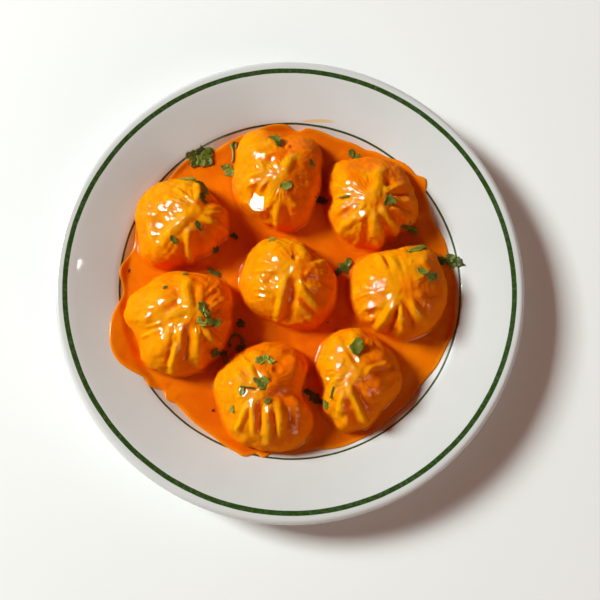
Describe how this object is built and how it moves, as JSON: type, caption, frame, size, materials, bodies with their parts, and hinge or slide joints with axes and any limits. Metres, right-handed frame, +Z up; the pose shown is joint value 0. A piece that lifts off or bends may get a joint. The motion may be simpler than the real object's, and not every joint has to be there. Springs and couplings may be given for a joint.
{
  "type": "momo dumplings",
  "caption": "Pleated steamed dumplings standing in a shallow pool of orange sauce on a round rimmed plate with a green line round its edge.",
  "frame": {"origin": "centre of the plate's foot ring, on the surface it stands on", "axes": "+Z up, along the plate's axis; -Y towards the eater; +X to the eater's right"},
  "size_m": [0.254, 0.254, 0.0433],
  "materials": {
    "glaze": "glossy off-white glaze with green lines",
    "sauce": "wet, smooth orange sauce",
    "dough": "wet steamed dough under a thin coat of sauce"
  },
  "bodies": {
    "root": {"plate": "glaze", "sauce": "sauce", "momo_1": "dough", "momo_2": "dough", "momo_3": "dough", "momo_4": "dough", "momo_5": "dough", "momo_6": "dough", "momo_7": "dough", "momo_8": "dough"}
  },
  "joints": []
}
